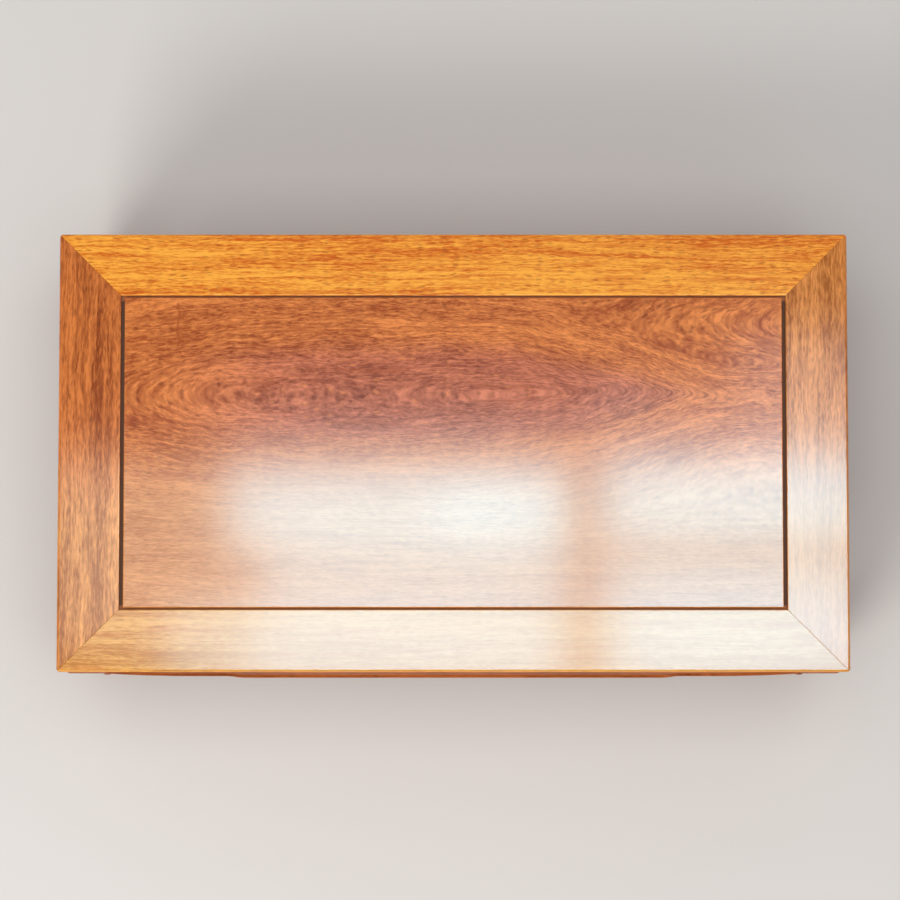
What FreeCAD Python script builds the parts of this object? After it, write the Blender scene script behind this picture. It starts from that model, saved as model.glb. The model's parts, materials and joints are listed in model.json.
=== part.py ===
import FreeCAD, Part
import math
import os

from FreeCAD import Vector

# A low flower stand of joined hardwood: a mitred frame with a floating panel, a narrow waist, flared
# aprons with a hanging belly, and four bulging legs whose feet turn inwards.
# Lengths are millimetres, the floor is at zero height, X runs along the stand and its front faces -Y.
# Sections are drawn from the waist: "out" is measured outwards from the waist's face on each side.

# Overall sizes
TOP_LENGTH = 600.0
TOP_DEPTH = 333.0
STAND_HEIGHT = 150.0

# Frame of the top
MEMBER_WIDTH = 47.0
TOP_THICKNESS = 22.0
OVERHANG = 9.0
CORNER_ROUND = 3.0
ARRIS_ROUND = 1.8
INNER_EASE = 0.6
EDGE_BAND = 9.0
EDGE_QUIRK = 0.9
EDGE_RECESS = 6.5
EDGE_FOOT = 2.2
OGEE_SAG = 0.9

# Joints of the frame
JOINT_FIT = 0.1
TENON_FLOOR = 8.0
TENON_THICKNESS = 7.0
TENON_INSET = 20.0
TENON_WALL = 3.0
TENON_STOP = 10.0

# Floating panel
PANEL_THICKNESS = 13.0
TONGUE_THICKNESS = 6.5
TONGUE_REACH = 6.0
GROOVE_DEPTH = 7.0
PANEL_END_GAP = 2.9
PANEL_SIDE_GAP = 1.6
PANEL_EASE = 0.7

# Battens under the panel
BATTEN_COUNT = 3
BATTEN_SPACING = 165.0
BATTEN_WIDTH = 26.0
DOVETAIL_HEIGHT = 4.5
DOVETAIL_NECK = 14.0
DOVETAIL_HEAD = 18.0
BATTEN_TENON_WIDTH = 16.0
BATTEN_TENON_LENGTH = 9.0
BATTEN_SHOULDER = 1.5

# Waist
WAIST_HEIGHT = 8.5
WAIST_THICKNESS = 7.0
WAIST_TONGUE = 3.0
WAIST_TONGUE_DEPTH = 2.5

# Aprons: section and outline
SHOULDER_OUT = 2.5
SHOULDER_DROP = 3.5
FLARE_TOP_OUT = 5.2
FLARE_LIP_OUT = 12.9
APRON_END_DEPTH = 24.0
CURVE_DROP = 8.0
STEP_DROP = 6.0
CURVE_RUN = 59.0
FLAT_RUN = 28.0
STEP_RUN = 16.0
END_CURVE_RUN = 42.0
END_FLAT_RUN = 16.0
BEAD_WIDTH = 2.4
BEAD_PROUD = 1.0

# Legs: outline, post and tenons
POST_INNER = 27.0
MITRE_TIP = 1.5
KNEE_RADIUS = 26.0
CALF_LEAN = 8.0
ANKLE_SHARE = 0.5
FOOT_OUT = -7.0
CALF_INNER = 18.5
CALF_SHARE = 0.65
HOOF_INNER = 30.0
HOOF_SHARE = 0.23
TOE_INNER = 41.0
TOE_SHARE = 0.085
SOLE_INNER = 43.5
BEAD_END = 13.0
LEG_TENON = 6.5
LEG_TENON_SHOULDER = 1.0
LONG_TENON_HEIGHT = 12.0
SHORT_TENON_ROOF = 1.5

# Hanging keys between legs and aprons
KEY_NECK = 5.0
KEY_HEAD = 7.5
KEY_DEPTH = 4.0
KEY_BELOW_TOP = 5.0

# Levels and plan sizes that follow from the sizes above
TOP = STAND_HEIGHT
UNDERSIDE = TOP - TOP_THICKNESS
APRON_TOP = UNDERSIDE - WAIST_HEIGHT
APRON_END = APRON_TOP - APRON_END_DEPTH
APRON_FLAT = APRON_END - CURVE_DROP
APRON_BELLY = APRON_FLAT - STEP_DROP
PANEL_UNDERSIDE = TOP - PANEL_THICKNESS
TONGUE_TOP = PANEL_UNDERSIDE + TONGUE_THICKNESS
WAIST_HALF_LENGTH = TOP_LENGTH / 2 - OVERHANG
WAIST_HALF_DEPTH = TOP_DEPTH / 2 - OVERHANG
MEMBER_INNER = OVERHANG - MEMBER_WIDTH
POST_OUTER = WAIST_THICKNESS
CLEAR = 1.0
SIDES = {"right": 0, "back": 90, "left": 180, "front": 270}


def end_side(side):
    return side in ("right", "left")


def half_run(side):
    """Half the length of the waist's face on a side."""
    return WAIST_HALF_DEPTH if end_side(side) else WAIST_HALF_LENGTH


def placed(shape, side):
    """Takes a shape drawn with x outwards from the waist's face and y along it to its side."""
    shape = shape.copy()
    reach = WAIST_HALF_LENGTH if end_side(side) else WAIST_HALF_DEPTH
    shape.translate(Vector(reach, 0, 0))
    shape.rotate(Vector(0, 0, 0), Vector(0, 0, 1), SIDES[side])
    return shape


def block(x_range, y_range, z_range):
    low = Vector(x_range[0], y_range[0], z_range[0])
    return Part.makeBox(x_range[1] - low.x, y_range[1] - low.y, z_range[1] - low.z, low)


def both_ends(y_range):
    """A range along a side and its mirror image at the side's other end."""
    return [y_range, (-y_range[1], -y_range[0])]


def grown(span, by=JOINT_FIT):
    return (span[0] - by, span[1] + by)


def line(start, end):
    return Part.LineSegment(start, end).toShape()


def bowed(start, end, sag):
    """An arc in a section, whose middle stands off its chord by sag, outwards on the way down."""
    way = end - start
    off = Vector(-way.z, 0, way.x).normalize() * sag
    return Part.Arc(start, (start + end) * 0.5 + off, end).toShape()


def corner_arc(start, corner, end):
    """A quarter circle from start to end that rounds the right angle at corner."""
    middle = (start + end) * 0.5 + (corner - (start + end) * 0.5) * (math.sqrt(2) - 1)
    return Part.Arc(start, middle, end).toShape()


def eased(start, way, end):
    """An arc that leaves its start along a direction and ends at a point, and its direction there."""
    chord = (end - start).normalize()
    heading = Vector(way).normalize()
    ahead = chord * heading.dot(chord)
    aside = heading - ahead
    bulge = aside.Length / (1 + ahead.dot(chord)) * start.distanceToPoint(end) / 2
    middle = (start + end) * 0.5 + aside.normalize() * bulge
    return Part.Arc(start, middle, end).toShape(), ahead * 2 - heading


def filled(edges):
    return Part.Face(Part.Wire(edges))


def outline(points):
    return Part.Face(Part.makePolygon(points + points[:1]))


def along_side(section, side):
    """Extrudes a section, drawn at y = 0, past both ends of a side."""
    reach = half_run(side) + OVERHANG + MEMBER_WIDTH
    bar = section.extrude(Vector(0, 2 * reach, 0))
    bar.translate(Vector(0, -reach, 0))
    return bar


def mitred(side, inner, outer, low, high):
    """The room between two distances from the waist's face, ended by the corners' 45 degree mitres."""
    half = half_run(side)
    corners = [
        Vector(inner, -half - inner, low),
        Vector(outer, -half - outer, low),
        Vector(outer, half + outer, low),
        Vector(inner, half + inner, low),
    ]
    return outline(corners).extrude(Vector(0, 0, high - low))


# Frame of the top
def member_section():
    outer = OVERHANG
    crown = outer - ARRIS_ROUND
    ogee_top = Vector(outer - EDGE_QUIRK, 0, TOP - EDGE_BAND)
    ogee_foot = Vector(outer - EDGE_RECESS, 0, UNDERSIDE + EDGE_FOOT)
    ogee_middle = (ogee_top + ogee_foot) * 0.5
    under_outer = Vector(outer - EDGE_RECESS, 0, UNDERSIDE)
    under_inner = Vector(MEMBER_INNER, 0, UNDERSIDE)
    ease_low = Vector(MEMBER_INNER, 0, TOP - INNER_EASE)
    ease_high = Vector(MEMBER_INNER + INNER_EASE, 0, TOP)
    band_top = Vector(outer, 0, TOP - ARRIS_ROUND)
    band_foot = Vector(outer, 0, TOP - EDGE_BAND)
    return filled([
        line(under_inner, ease_low),
        corner_arc(ease_low, Vector(MEMBER_INNER, 0, TOP), ease_high),
        line(ease_high, Vector(crown, 0, TOP)),
        corner_arc(Vector(crown, 0, TOP), Vector(outer, 0, TOP), band_top),
        line(band_top, band_foot),
        line(band_foot, ogee_top),
        bowed(ogee_top, ogee_middle, OGEE_SAG),
        bowed(ogee_middle, ogee_foot, -OGEE_SAG),
        line(ogee_foot, under_outer),
        line(under_outer, under_inner),
    ])


def rounded_plan(side):
    """The top's plan with its softened corners, drawn from one side."""
    reach = half_run(side) + OVERHANG
    depth = 2 * (WAIST_HALF_LENGTH if end_side(side) else WAIST_HALF_DEPTH) + 2 * OVERHANG
    plan = block((OVERHANG - depth, OVERHANG), (-reach, reach), (UNDERSIDE - CLEAR, TOP + CLEAR))
    upright = [edge for edge in plan.Edges if edge.BoundBox.ZLength > TOP_THICKNESS]
    return plan.makeFillet(CORNER_ROUND, upright)


def tenon_heights():
    low = UNDERSIDE + TENON_FLOOR
    return (low, low + TENON_THICKNESS)


def tenon_across():
    """Where a frame tenon lies across the rail that carries it."""
    return (MEMBER_INNER + GROOVE_DEPTH + TENON_WALL, OVERHANG - TENON_INSET)


def tenon_along(side):
    """How far a frame tenon reaches along its rail, into the stile."""
    return (half_run(side) + MEMBER_INNER, half_run(side) + OVERHANG - TENON_STOP)


def leg_tenon_near():
    outer = -POST_OUTER - LEG_TENON_SHOULDER
    return (outer - LEG_TENON, outer)


def leg_tenon_far():
    inner = -POST_INNER + LEG_TENON_SHOULDER
    return (inner, inner + LEG_TENON)


def shifted(span, by):
    return (span[0] + by, span[1] + by)


def member(side):
    """A frame member with its moulded edge, its mitres and the grooves for the panel and the waist."""
    half = half_run(side)
    bar = along_side(member_section(), side)
    bar = bar.common(mitred(side, MEMBER_INNER - CLEAR, OVERHANG + CLEAR, UNDERSIDE - CLEAR, TOP + CLEAR))
    bar = bar.common(rounded_plan(side))
    length = (-half - OVERHANG, half + OVERHANG)
    groove = (MEMBER_INNER - CLEAR, MEMBER_INNER + GROOVE_DEPTH)
    bar = bar.cut(block(groove, length, grown((PANEL_UNDERSIDE, TONGUE_TOP))))
    waist = (UNDERSIDE - CLEAR, UNDERSIDE + WAIST_TONGUE_DEPTH + JOINT_FIT)
    return bar.cut(block(grown(waist_tongue()), length, waist))


def leg_mortised(bar, side, leg_tenon_height):
    """Cuts the mortises for the legs' tenons into a member's underside."""
    mortise = (UNDERSIDE - CLEAR, UNDERSIDE + leg_tenon_height + JOINT_FIT)
    for span in both_ends(grown(shifted(leg_tenon_far(), half_run(side)))):
        bar = bar.cut(block(grown(leg_tenon_near()), span, mortise))
    return bar


def short_tenon_height():
    return TENON_FLOOR - SHORT_TENON_ROOF


def rail(side):
    """A long member: its ends carry the frame tenons, its inner face takes the battens."""
    bar = member(side)
    for span in both_ends(tenon_along(side)):
        bar = bar.fuse(block(tenon_across(), span, tenon_heights()))
    bar = leg_mortised(bar, side, LONG_TENON_HEIGHT)
    for centre in batten_centres():
        seat = grown((centre - BATTEN_TENON_WIDTH / 2, centre + BATTEN_TENON_WIDTH / 2))
        depth = (MEMBER_INNER - CLEAR, MEMBER_INNER + BATTEN_TENON_LENGTH + JOINT_FIT)
        bar = bar.cut(block(depth, seat, grown(batten_tenon_heights())))
    return bar.removeSplitter()


def stile(side):
    """A short member: its ends are mortised for the rails' tenons."""
    bar = leg_mortised(member(side), side, short_tenon_height())
    depth = (MEMBER_INNER - CLEAR, OVERHANG - TENON_STOP + JOINT_FIT)
    for span in both_ends(grown(shifted(tenon_across(), half_run(side)))):
        bar = bar.cut(block(depth, span, grown(tenon_heights())))
    return bar.removeSplitter()


# Panel and battens
def batten_centres():
    middle = (BATTEN_COUNT - 1) / 2
    return [(i - middle) * BATTEN_SPACING for i in range(BATTEN_COUNT)]


def batten_tenon_heights():
    return (UNDERSIDE + BATTEN_SHOULDER, PANEL_UNDERSIDE - BATTEN_SHOULDER)


def dovetail(centre, extra, reach):
    """The sliding dovetail between the panel and a batten, run across the stand."""
    low = PANEL_UNDERSIDE - extra
    high = PANEL_UNDERSIDE + DOVETAIL_HEIGHT + extra
    neck = DOVETAIL_NECK / 2 + extra
    head = DOVETAIL_HEAD / 2 + extra
    section = outline([
        Vector(centre - neck, -reach, low),
        Vector(centre + neck, -reach, low),
        Vector(centre + head, -reach, high),
        Vector(centre - head, -reach, high),
    ])
    return section.extrude(Vector(0, 2 * reach, 0))


def opening_half():
    """Half the length and half the depth of the frame's opening."""
    return WAIST_HALF_LENGTH + MEMBER_INNER, WAIST_HALF_DEPTH + MEMBER_INNER


def top_panel():
    half_x, half_y = opening_half()
    tongue_x = half_x + TONGUE_REACH
    tongue_y = half_y + TONGUE_REACH
    field_x = half_x - PANEL_END_GAP
    field_y = half_y - PANEL_SIDE_GAP
    tongue = block((-tongue_x, tongue_x), (-tongue_y, tongue_y), (PANEL_UNDERSIDE, TONGUE_TOP))
    field = block((-field_x, field_x), (-field_y, field_y), (PANEL_UNDERSIDE, TOP))
    rim = [edge for edge in field.Edges if edge.BoundBox.ZMin > TOP - CLEAR]
    panel = tongue.fuse(field.makeFillet(PANEL_EASE, rim))
    for centre in batten_centres():
        panel = panel.cut(dovetail(centre, JOINT_FIT, tongue_y + CLEAR))
    return panel.removeSplitter()


def batten(centre):
    half_y = opening_half()[1]
    tenon_y = half_y + BATTEN_TENON_LENGTH
    sides = (centre - BATTEN_WIDTH / 2, centre + BATTEN_WIDTH / 2)
    cheeks = (centre - BATTEN_TENON_WIDTH / 2, centre + BATTEN_TENON_WIDTH / 2)
    body = block(sides, (-half_y, half_y), (UNDERSIDE, PANEL_UNDERSIDE))
    body = body.fuse(block(cheeks, (-tenon_y, tenon_y), batten_tenon_heights()))
    return body.fuse(dovetail(centre, 0.0, half_y)).removeSplitter()


# Waist
def waist_tongue():
    middle = -WAIST_THICKNESS / 2
    return (middle - WAIST_TONGUE / 2, middle + WAIST_TONGUE / 2)


def waist(side):
    board = mitred(side, -WAIST_THICKNESS, 0.0, APRON_TOP, UNDERSIDE)
    tongue_low = APRON_TOP - WAIST_TONGUE_DEPTH
    tongue_high = UNDERSIDE + WAIST_TONGUE_DEPTH
    tongue = mitred(side, waist_tongue()[0], waist_tongue()[1], tongue_low, tongue_high)
    return board.fuse(tongue).removeSplitter()


# Aprons
def flare_top():
    return Vector(FLARE_TOP_OUT, 0, APRON_TOP - SHOULDER_DROP)


def flare_lip():
    return Vector(FLARE_LIP_OUT, 0, APRON_BELLY)


def flare_way():
    """The downward direction of the flared face in section."""
    return (flare_lip() - flare_top()).normalize()


def shoulder_arc():
    """The rounding from the flared face to the apron's top, in section."""
    return eased(flare_top(), -flare_way(), Vector(SHOULDER_OUT, 0, APRON_TOP))[0]


def apron_section():
    runout = flare_lip() + flare_way() * BEAD_WIDTH
    back_top = Vector(-POST_OUTER, 0, APRON_TOP)
    back_low = Vector(-POST_OUTER, 0, runout.z)
    return filled([
        line(back_top, Vector(SHOULDER_OUT, 0, APRON_TOP)),
        shoulder_arc(),
        line(flare_top(), runout),
        line(runout, back_low),
        line(back_low, back_top),
    ])


def apron_runs(side):
    if end_side(side):
        return END_CURVE_RUN, END_FLAT_RUN
    return CURVE_RUN, FLAT_RUN


def above_outline(side, lift):
    """The room above an apron's lower edge: a curve from each leg, a level, a step and the belly."""
    curve_run, flat_run = apron_runs(side)
    foot = half_run(side) - POST_INNER
    far = half_run(side) + MEMBER_WIDTH
    inside = -2 * MEMBER_WIDTH

    def spot(y, z):
        return Vector(inside, y, z + lift)

    def half_edge(way):
        end = spot(way * foot, APRON_END)
        flat_start = spot(way * (foot - curve_run), APRON_FLAT)
        flat_end = spot(way * (foot - curve_run - flat_run), APRON_FLAT)
        belly = spot(way * (foot - curve_run - flat_run - STEP_RUN), APRON_BELLY)
        middle = (flat_end + belly) * 0.5
        to_leg = Vector(0, way, 0)
        edges = [
            line(spot(way * far, APRON_END), end),
            eased(flat_start, to_leg, end)[0],
            line(flat_start, flat_end),
            eased(flat_end, -to_leg, middle)[0],
            eased(belly, to_leg, middle)[0],
        ]
        return edges, belly

    right_edges, right_belly = half_edge(1)
    left_edges, left_belly = half_edge(-1)
    roof = APRON_TOP + 2 * CLEAR
    top_right = Vector(inside, far, roof)
    top_left = Vector(inside, -far, roof)
    edges = right_edges + left_edges + [
        line(right_belly, left_belly),
        line(spot(-far, APRON_END), top_left),
        line(top_left, top_right),
        line(top_right, spot(far, APRON_END)),
    ]
    face = Part.Face(Part.Wire(Part.__sortEdges__(edges)))
    return face.extrude(Vector(4 * MEMBER_WIDTH, 0, 0))


def mitre_top():
    """The head of the shoulder mitre, which leaves the leg a blunt tip at its corner."""
    return SHOULDER_OUT - MITRE_TIP


def mitre_past(height_past):
    """How far out the shoulder mitre's line has run at a height above the apron's top."""
    slope = (mitre_top() + POST_INNER) / APRON_END_DEPTH
    return mitre_top() + slope * height_past


def between_mitres(side):
    """The room between the two legs' shoulder mitres, as seen from the side's front."""
    half = half_run(side)
    foot = half - POST_INNER
    head = half + mitre_past(CLEAR)
    inside = -2 * MEMBER_WIDTH
    low = APRON_BELLY - MEMBER_WIDTH
    face = outline([
        Vector(inside, -foot, low),
        Vector(inside, foot, low),
        Vector(inside, foot, APRON_END),
        Vector(inside, head, APRON_TOP + CLEAR),
        Vector(inside, -head, APRON_TOP + CLEAR),
        Vector(inside, -foot, APRON_END),
    ])
    return face.extrude(Vector(4 * MEMBER_WIDTH, 0, 0))


def key_section(centre, extra, height):
    """A hanging key in plan: it stands on the leg's post and widens into the apron's back."""
    neck = KEY_NECK / 2 + extra
    head = KEY_HEAD / 2 + extra
    tip = -POST_OUTER + KEY_DEPTH + extra
    return outline([
        Vector(-POST_OUTER, centre - neck, height),
        Vector(tip, centre - head, height),
        Vector(tip, centre + head, height),
        Vector(-POST_OUTER, centre + neck, height),
    ])


def key_centre():
    return -(POST_INNER + POST_OUTER) / 2


def apron(side):
    half = half_run(side)
    section = along_side(apron_section(), side)
    proud = section.translated(Vector(BEAD_PROUD, 0, 0))
    board = section.common(above_outline(side, 0.0))
    bead = proud.common(above_outline(side, 0.0)).cut(above_outline(side, BEAD_WIDTH))
    board = board.fuse(bead)
    board = board.common(between_mitres(side))
    board = board.common(mitred(side, -POST_OUTER - CLEAR, MEMBER_WIDTH, 0.0, TOP))
    groove = (APRON_TOP - WAIST_TONGUE_DEPTH - JOINT_FIT, APRON_TOP + CLEAR)
    board = board.cut(block(grown(waist_tongue()), (-half - OVERHANG, half + OVERHANG), groove))
    key_top = APRON_TOP - KEY_BELOW_TOP + JOINT_FIT
    for way in (1, -1):
        slot = key_section(way * (half + key_centre()), JOINT_FIT, APRON_BELLY)
        board = board.cut(slot.extrude(Vector(0, 0, key_top - APRON_BELLY)))
    return board.removeSplitter()


# Legs
def leg_outer_edges():
    """The leg's outer outline, from the apron's top to the floor."""
    way = flare_way()
    joint = flare_top() + way * ((APRON_END - flare_top().z) / way.z)
    lean = math.radians(CALF_LEAN)
    knee_centre = joint + Vector(way.z, 0, -way.x) * KNEE_RADIUS
    knee = knee_centre + Vector(math.cos(lean), 0, -math.sin(lean)) * KNEE_RADIUS
    turn_in, down = eased(joint, way, knee)
    ankle = knee + down * ((APRON_END * ANKLE_SHARE - knee.z) / down.z)
    foot = eased(ankle, down, Vector(FOOT_OUT, 0, 0))[0]
    return [shoulder_arc(), line(flare_top(), joint), turn_in, line(knee, ankle), foot]


def inner_edges():
    """The leg's inner outline, from the apron's end in to the calf and out to the toe of the hoof."""
    joint = Vector(-POST_INNER, 0, APRON_END)
    calf = Vector(-CALF_INNER, 0, APRON_END * CALF_SHARE)
    hoof = Vector(-HOOF_INNER, 0, APRON_END * HOOF_SHARE)
    toe = Vector(-TOE_INNER, 0, APRON_END * TOE_SHARE)
    thigh = eased(calf, Vector(0, 0, 1), joint)[0]
    shin, down = eased(calf, Vector(0, 0, -1), hoof)
    sweep, down = eased(hoof, down, toe)
    nose = eased(toe, down, Vector(-SOLE_INNER, 0, 0))[0]
    return [thigh, shin, sweep, nose]


def leg_profile():
    shoulder = Vector(SHOULDER_OUT, 0, APRON_TOP)
    inner_top = Vector(-POST_INNER, 0, APRON_TOP)
    inner_joint = Vector(-POST_INNER, 0, APRON_END)
    heel = Vector(FOOT_OUT, 0, 0)
    toe = Vector(-SOLE_INNER, 0, 0)
    return filled(
        [line(inner_top, shoulder)]
        + leg_outer_edges()
        + [line(heel, toe)]
        + inner_edges()[::-1]
        + [line(inner_joint, inner_top)]
    )


def leg_bead(face):
    """The raised bead beside the inner outline, on the face that a sawn solid gives."""
    across = Vector(BEAD_WIDTH, 0, 0)
    joint = Vector(-POST_INNER, 0, APRON_END)
    head = joint + Vector(0, 0, BEAD_WIDTH)
    sole = Vector(-SOLE_INNER, 0, 0)
    inner = inner_edges()
    moved = [edge.translated(across) for edge in inner]
    band = filled(
        inner
        + [line(sole, sole + across)]
        + moved[::-1]
        + [line(joint + across, head + across), line(head + across, head), line(head, joint)]
    )
    reach = 2 * MEMBER_WIDTH
    band = band.extrude(Vector(0, 2 * reach, 0)).translated(Vector(0, -reach, 0))
    above_hoof = block((-reach, reach), (-reach, reach), (BEAD_END, TOP))
    return face.translated(Vector(0, BEAD_PROUD, 0)).common(band).common(above_hoof)


def leg_blank():
    """The leg sawn to one outline on two faces, its outer corner rounded from the flare to the calf."""
    reach = 2 * MEMBER_WIDTH
    origin = Vector(0, 0, 0)
    diagonal = Vector(1, -1, 0)
    profile = leg_profile()
    one = profile.extrude(Vector(0, 2 * reach, 0))
    one.translate(Vector(0, -reach, 0))
    other = one.mirror(origin, diagonal)
    sawn = one.common(other)
    axis = FLARE_TOP_OUT
    flank = sawn.common(block((-reach, axis), (-reach, reach), (-CLEAR, TOP)))
    corner = profile.common(block((axis, reach), (-CLEAR, CLEAR), (-CLEAR, TOP))).Faces[0]
    corner.translate(Vector(0, axis, 0))
    corner = corner.revolve(Vector(axis, axis, 0), Vector(0, 0, 1), 90)
    bead = leg_bead(other)
    body = flank.fuse(flank.mirror(origin, diagonal)).fuse(corner)
    return body.fuse(bead).fuse(bead.mirror(origin, diagonal))


def apron_seat():
    """The room that an apron's end takes from the leg, over the post's outer face."""
    far = -2 * MEMBER_WIDTH
    face = outline([
        Vector(far, -POST_OUTER, APRON_END),
        Vector(-POST_INNER, -POST_OUTER, APRON_END),
        Vector(mitre_top(), -POST_OUTER, APRON_TOP),
        Vector(mitre_past(CLEAR), -POST_OUTER, APRON_TOP + CLEAR),
        Vector(far, -POST_OUTER, APRON_TOP + CLEAR),
    ])
    return face.extrude(Vector(0, 2 * MEMBER_WIDTH, 0))


def leg():
    """The leg at the back right corner, measured from the corner of the waist."""
    diagonal = Vector(1, -1, 0)
    post_span = (-POST_INNER, -POST_OUTER)
    body = leg_blank().fuse(block(post_span, post_span, (APRON_END, UNDERSIDE)))
    seat = apron_seat()
    body = body.cut(seat).cut(seat.mirror(Vector(0, 0, 0), diagonal))
    key_top = APRON_TOP - KEY_BELOW_TOP
    key = key_section(key_centre(), 0.0, APRON_END).extrude(Vector(0, 0, key_top - APRON_END))
    body = body.fuse(key).fuse(key.mirror(Vector(0, 0, 0), diagonal))
    near = leg_tenon_near()
    far = leg_tenon_far()
    body = body.fuse(block(far, near, (UNDERSIDE - CLEAR, UNDERSIDE + LONG_TENON_HEIGHT)))
    body = body.fuse(block(near, far, (UNDERSIDE - CLEAR, UNDERSIDE + short_tenon_height())))
    body = body.removeSplitter()
    body.translate(Vector(WAIST_HALF_LENGTH, WAIST_HALF_DEPTH, 0))
    return body


def stand():
    """Every piece of the stand, by its name."""
    pieces = {"top_panel": top_panel()}
    for side in SIDES:
        if end_side(side):
            pieces["top_stile_" + side] = placed(stile(side), side)
        else:
            pieces["top_rail_" + side] = placed(rail(side), side)
        pieces["waist_" + side] = placed(waist(side), side)
        pieces["apron_" + side] = placed(apron(side), side)
    for number, centre in enumerate(batten_centres(), 1):
        pieces["batten_%d" % number] = batten(centre)
    back_right = leg()
    origin = Vector(0, 0, 0)
    back_left = back_right.mirror(origin, Vector(1, 0, 0))
    pieces["leg_back_right"] = back_right
    pieces["leg_back_left"] = back_left
    pieces["leg_front_right"] = back_right.mirror(origin, Vector(0, 1, 0))
    pieces["leg_front_left"] = back_left.mirror(origin, Vector(0, 1, 0))
    return pieces


def main():
    os.makedirs("parts", exist_ok=True)
    for name, shape in stand().items():
        solids = len(shape.Solids)
        print("%-18s solids %d  volume %9.1f  valid %s" % (name, solids, shape.Volume, shape.isValid()))
        shape.exportStep("parts/%s.step" % name)


main()
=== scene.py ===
import json
import math
from collections import namedtuple

import bmesh
import bpy
from bpy.props import FloatProperty, FloatVectorProperty, PointerProperty
from bpy.types import Operator, Panel, PropertyGroup
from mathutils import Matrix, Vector

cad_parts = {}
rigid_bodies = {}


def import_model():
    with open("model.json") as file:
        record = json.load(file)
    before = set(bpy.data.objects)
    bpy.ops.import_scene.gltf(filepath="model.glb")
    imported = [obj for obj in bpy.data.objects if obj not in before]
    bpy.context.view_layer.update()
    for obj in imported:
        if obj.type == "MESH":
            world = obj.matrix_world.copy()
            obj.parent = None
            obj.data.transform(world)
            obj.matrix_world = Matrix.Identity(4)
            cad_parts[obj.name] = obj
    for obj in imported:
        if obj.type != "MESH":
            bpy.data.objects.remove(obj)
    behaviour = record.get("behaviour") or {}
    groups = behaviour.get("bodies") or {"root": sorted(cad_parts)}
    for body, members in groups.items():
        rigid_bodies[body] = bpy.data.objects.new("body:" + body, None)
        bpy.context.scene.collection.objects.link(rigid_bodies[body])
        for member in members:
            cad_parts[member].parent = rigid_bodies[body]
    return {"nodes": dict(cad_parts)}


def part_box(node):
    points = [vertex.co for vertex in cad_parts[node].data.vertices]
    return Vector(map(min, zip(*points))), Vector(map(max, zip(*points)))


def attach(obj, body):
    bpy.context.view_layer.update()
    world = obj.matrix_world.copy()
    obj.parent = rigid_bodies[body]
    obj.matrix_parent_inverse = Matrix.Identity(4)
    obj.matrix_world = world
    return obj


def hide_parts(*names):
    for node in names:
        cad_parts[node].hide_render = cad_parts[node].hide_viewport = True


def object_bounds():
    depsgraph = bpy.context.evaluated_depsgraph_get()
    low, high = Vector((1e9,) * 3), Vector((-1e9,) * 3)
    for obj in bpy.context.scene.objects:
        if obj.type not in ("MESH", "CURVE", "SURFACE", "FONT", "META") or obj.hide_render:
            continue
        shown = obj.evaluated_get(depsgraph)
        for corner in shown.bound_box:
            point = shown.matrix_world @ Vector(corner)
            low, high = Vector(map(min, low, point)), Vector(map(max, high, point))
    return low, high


bl_info = {
    "name": "Flower Stand",
    "version": (1, 0, 0),
    "blender": (4, 5, 0),
    "location": "View3D > Sidebar > Flower Stand",
    "description": "Dresses a low joined flower stand in polished rosewood and sets its studio",
    "category": "Object",
}

for leftover in list(bpy.data.objects):
    bpy.data.objects.remove(leftover)
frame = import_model()
CAD_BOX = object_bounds()

LONG_SIDES = ("front", "back")
SHORT_SIDES = ("left", "right")
CORNERS = ("front_left", "front_right", "back_left", "back_right")
IMAGE_SIZE = 900
SENSOR_WIDTH = 36.0
TOP_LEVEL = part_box("top_panel")[1].z
TONGUE_DROP = 0.0065
TONGUE_LEVEL = TOP_LEVEL - TONGUE_DROP
# Turns that lay the grain along an axis
ALONG_X = (0.0, 0.0, 0.0)
ALONG_Y = (0.0, 0.0, math.pi / 2)
ALONG_Z = (0.0, math.pi / 2, 0.0)
# Layers of streaks: length along the grain and width across it in metres, and weight
PANEL_LAYERS = (
    (0.25, 0.011, 0.45), (0.045, 0.0022, 0.45), (0.008, 0.0012, 0.70),
    (0.0035, 0.0009, 0.40), (0.022, 0.014, 0.25),
)
RAIL_LAYERS = (
    (0.35, 0.020, 0.45), (0.20, 0.0055, 0.65), (0.060, 0.0016, 0.70),
    (0.007, 0.0009, 0.85), (0.0035, 0.0009, 0.30),
)
STILE_LAYERS = ((0.24, 0.0085, 0.80), (0.050, 0.0022, 0.60), (0.008, 0.0013, 0.80))
BASE_LAYERS = ((0.20, 0.0065, 0.55), (0.050, 0.0018, 0.45), (0.008, 0.0011, 0.45))
# Contrast of a layer, and the detail and roughness of its noise
STREAK_CONTRAST = 2.6
STREAK_NOISE = (3.0, 0.55)
# Scales of the grain's three bends, along the grain and across it
COURSE_BENDS = (
    ("Wander", (5.0, 16.0, 16.0)),
    ("Swirl", (22.0, 45.0, 45.0)),
    ("Ripple", (70.0, 130.0, 130.0)),
)
# How much of the panel's swirl the other woods have
PLAIN_SWIRL = 0.25
# How much lighter the long members are at their inner edges
INNER_WEIGHT = 0.32
# Rubbed edges, and the painted highlight on the base's lips: half the sides of their rectangle,
# how far in they reach, from what level, how pale
Wear = namedtuple("Wear", "half_length half_depth reach level paleness")
# How far in they reach on lips (a painted highlight), frame and panel, how far down,
# over what height they fade in, and how they break up into patches
LIP_REACH = 0.0022
FRAME_WEAR_REACH = 0.004
PANEL_WEAR_REACH = 0.003
WEAR_DROP = 0.008
WEAR_BAND = 0.007
WEAR_PATCHES = (70.0, 70.0, 70.0)
WEAR_BREAKS = (0.35, 0.7)
# The panel's gaps at its ends and at its long sides
END_GAP = 0.0029
SIDE_GAP = 0.0016
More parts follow.
